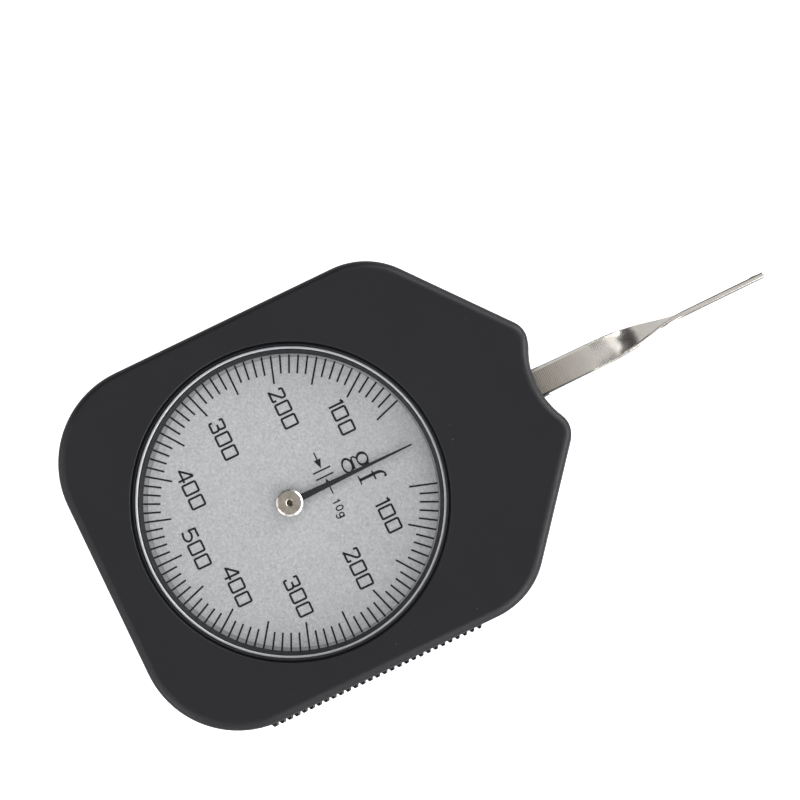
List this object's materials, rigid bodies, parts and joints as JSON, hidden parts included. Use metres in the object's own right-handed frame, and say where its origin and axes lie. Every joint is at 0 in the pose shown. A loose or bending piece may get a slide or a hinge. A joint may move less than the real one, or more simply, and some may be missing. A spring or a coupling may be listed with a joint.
{
  "type": "dial tension gauge",
  "caption": "Hand-held dial tension gauge: flat black case with a round window and numbered dial, a needle, and a twisted feeler lever that swings either way and turns the needle.",
  "frame": {"origin": "on the flat back face, on the pointer's axis", "axes": "+Z out of the dial, away from the back face; +Y along the feeler lever towards its tip"},
  "size_m": [0.0632, 0.1177, 0.02],
  "materials": {
    "case_black": "fine matte moulded",
    "rehaut_black": "matte",
    "window_clear": "clear polished",
    "bright_ring": "polished",
    "dial_silver": "satin with fine grain",
    "pointer_dark": "satin",
    "nickel": "satin nickel plate",
    "steel": "machined",
    "brass": "machined",
    "spring_steel": "tempered",
    "screw_steel": "black oxide"
  },
  "bodies": {
    "case": {"front_case": "case_black", "rear_case": "case_black", "case_screws": "screw_steel", "crystal": "window_clear", "crystal_ring": "bright_ring", "dial_ring": "rehaut_black", "dial_plate": "dial_silver", "dial_feet": "brass", "base_plate": "brass", "bridge_plate": "brass", "pillars": "brass", "bridge_screws": "steel", "base_screws": "steel", "stop_pins": "steel", "lever_bushes": "brass", "pointer_bushes": "brass", "force_spring": "spring_steel", "force_spring_stud": "brass", "hairspring": "spring_steel", "hairspring_stud": "brass"},
    "lever": {"feeler_lever": "nickel", "lever_holder": "steel", "lever_clamp": "steel", "lever_screws": "steel", "lever_arbor": "steel", "force_spring_collet": "steel", "sector_gear": "brass", "sector_screws": "steel"},
    "needle": {"pointer": "pointer_dark", "pointer_hub": "nickel", "pointer_arbor": "steel", "pinion": "brass", "hairspring_collet": "brass"}
  },
  "joints": [
    {"name": "lever_swing", "type": "hinge", "parent": "case", "child": "lever", "pos_m": [0, 0.0288, 0.01], "axis": [0, 0, 1], "range_deg": [-12, 12], "stiffness_Nm_per_rad": 1.3},
    {"name": "needle_spin", "type": "hinge", "parent": "case", "child": "needle", "pos_m": [0, 0, 0.0166], "axis": [0, 0, 1], "range_deg": [-181, 181]}
  ],
  "couplings": [
    {"joint": "needle_spin", "follows": "lever_swing", "ratio": -15}
  ]
}
